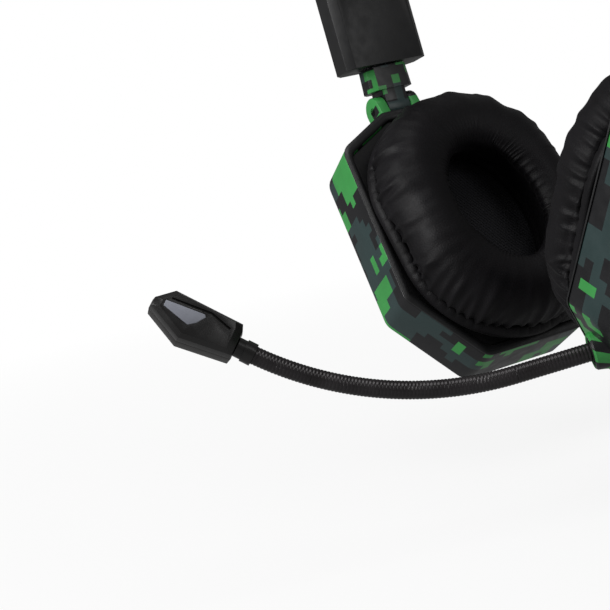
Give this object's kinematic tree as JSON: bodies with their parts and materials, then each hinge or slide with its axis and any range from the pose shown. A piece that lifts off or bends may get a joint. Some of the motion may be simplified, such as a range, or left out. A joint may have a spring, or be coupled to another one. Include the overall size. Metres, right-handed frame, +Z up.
{
  "type": "over-ear gaming headset",
  "caption": "Over-ear gaming headset with padded headband, sliding and tilting faceted ear cups with round-edged cushions, and a bendable boom microphone.",
  "frame": {"origin": "on the underside of the head pad, in the middle, where the headset rests on the top of the head", "axes": "+X towards the wearer's left ear, -Y the way the wearer faces, +Z up"},
  "size_m": [0.2002, 0.1705, 0.211],
  "materials": {
    "spring_steel": "brushed",
    "screw_steel": "satin",
    "magnet_steel": "satin",
    "camo_plastic": "satin, printed with green, slate and black square camouflage",
    "black_plastic": "fine satin",
    "gloss_black": "satin gloss",
    "window_plastic": "pale satin insert",
    "pu_leather": "soft sheen",
    "mesh_cloth": "knitted mesh",
    "speaker_film": "satin",
    "circuit_board": "solder mask",
    "black_rubber": "matte",
    "ribbed_rubber": "ribbed, satin",
    "capsule_metal": "satin"
  },
  "bodies": {
    "headband": {"band_spring": "spring_steel", "band_cover": "camo_plastic", "band_liner": "black_plastic", "head_pad_cushion": "pu_leather", "band_screws": "screw_steel", "sleeve_r": "black_plastic", "sleeve_l": "black_plastic", "detent_r": "spring_steel", "detent_l": "spring_steel"},
    "slider_r": {"strip_r": "spring_steel", "arm_r": "camo_plastic", "arm_rivets_r": "screw_steel"},
    "cup_r": {"shell_r": "camo_plastic", "face_plate_r": "camo_plastic", "rim_lip_r": "black_plastic", "hinge_pin_r": "screw_steel", "baffle_r": "black_plastic", "baffle_screws_r": "screw_steel", "speaker_frame_r": "black_plastic", "speaker_magnet_r": "magnet_steel", "speaker_cone_r": "speaker_film", "pad_plate_r": "black_plastic", "ear_cloth_r": "mesh_cloth", "cushion_skirt_r": "pu_leather", "cushion_r": "pu_leather"},
    "slider_l": {"strip_l": "spring_steel", "arm_l": "camo_plastic", "arm_rivets_l": "screw_steel"},
    "cup_l": {"shell_l": "camo_plastic", "face_plate_l": "camo_plastic", "rim_lip_l": "black_plastic", "hinge_pin_l": "screw_steel", "baffle_l": "black_plastic", "baffle_screws_l": "screw_steel", "speaker_frame_l": "black_plastic", "speaker_magnet_l": "magnet_steel", "speaker_cone_l": "speaker_film", "pad_plate_l": "black_plastic", "ear_cloth_l": "mesh_cloth", "cushion_skirt_l": "pu_leather", "cushion_l": "pu_leather", "junction_board": "circuit_board", "cord_gland": "black_rubber", "boom_grommet": "black_rubber", "neck_1": "ribbed_rubber"},
    "boom_2": {"neck_2": "ribbed_rubber"},
    "boom_3": {"neck_3": "ribbed_rubber"},
    "boom_4": {"neck_4": "ribbed_rubber"},
    "microphone": {"neck_5": "ribbed_rubber", "mic_collar": "gloss_black", "mic_base": "gloss_black", "mic_cover": "gloss_black", "mic_window": "window_plastic", "mic_capsule": "capsule_metal"}
  },
  "joints": [
    {"name": "size_slide_r", "type": "slide", "parent": "headband", "child": "slider_r", "axis": [0.1392, 0, -0.9903], "range_m": [0, 0.016]},
    {"name": "cup_tilt_r", "type": "hinge", "parent": "slider_r", "child": "cup_r", "pos_m": [-0.08713, 0, -0.09538], "axis": [0, 1, 0], "range_deg": [0, 28]},
    {"name": "size_slide_l", "type": "slide", "parent": "headband", "child": "slider_l", "axis": [-0.1392, 0, -0.9903], "range_m": [0, 0.016]},
    {"name": "cup_tilt_l", "type": "hinge", "parent": "slider_l", "child": "cup_l", "pos_m": [0.08713, 0, -0.09538], "axis": [0, -1, 0], "range_deg": [0, 28]},
    {"name": "boom_bend_1", "type": "hinge", "parent": "cup_l", "child": "boom_2", "pos_m": [0.02964, -0.04953, -0.17308], "axis": [-0.8829, 0.4695, 0], "range_deg": [-12, 10]},
    {"name": "boom_bend_2", "type": "hinge", "parent": "boom_2", "child": "boom_3", "pos_m": [0.02074, -0.06628, -0.17292], "axis": [-0.8829, 0.4695, 0], "range_deg": [-12, 10]},
    {"name": "boom_bend_3", "type": "hinge", "parent": "boom_3", "child": "boom_4", "pos_m": [0.01201, -0.08269, -0.16914], "axis": [-0.8829, 0.4695, 0], "range_deg": [-12, 10]},
    {"name": "boom_bend_4", "type": "hinge", "parent": "boom_4", "child": "microphone", "pos_m": [0.00378, -0.09817, -0.16188], "axis": [-0.8829, 0.4695, 0], "range_deg": [-12, 10]}
  ],
  "couplings": [
    {"joint": "boom_bend_2", "follows": "boom_bend_1", "ratio": 1},
    {"joint": "boom_bend_3", "follows": "boom_bend_1", "ratio": 1},
    {"joint": "boom_bend_4", "follows": "boom_bend_1", "ratio": 1}
  ]
}
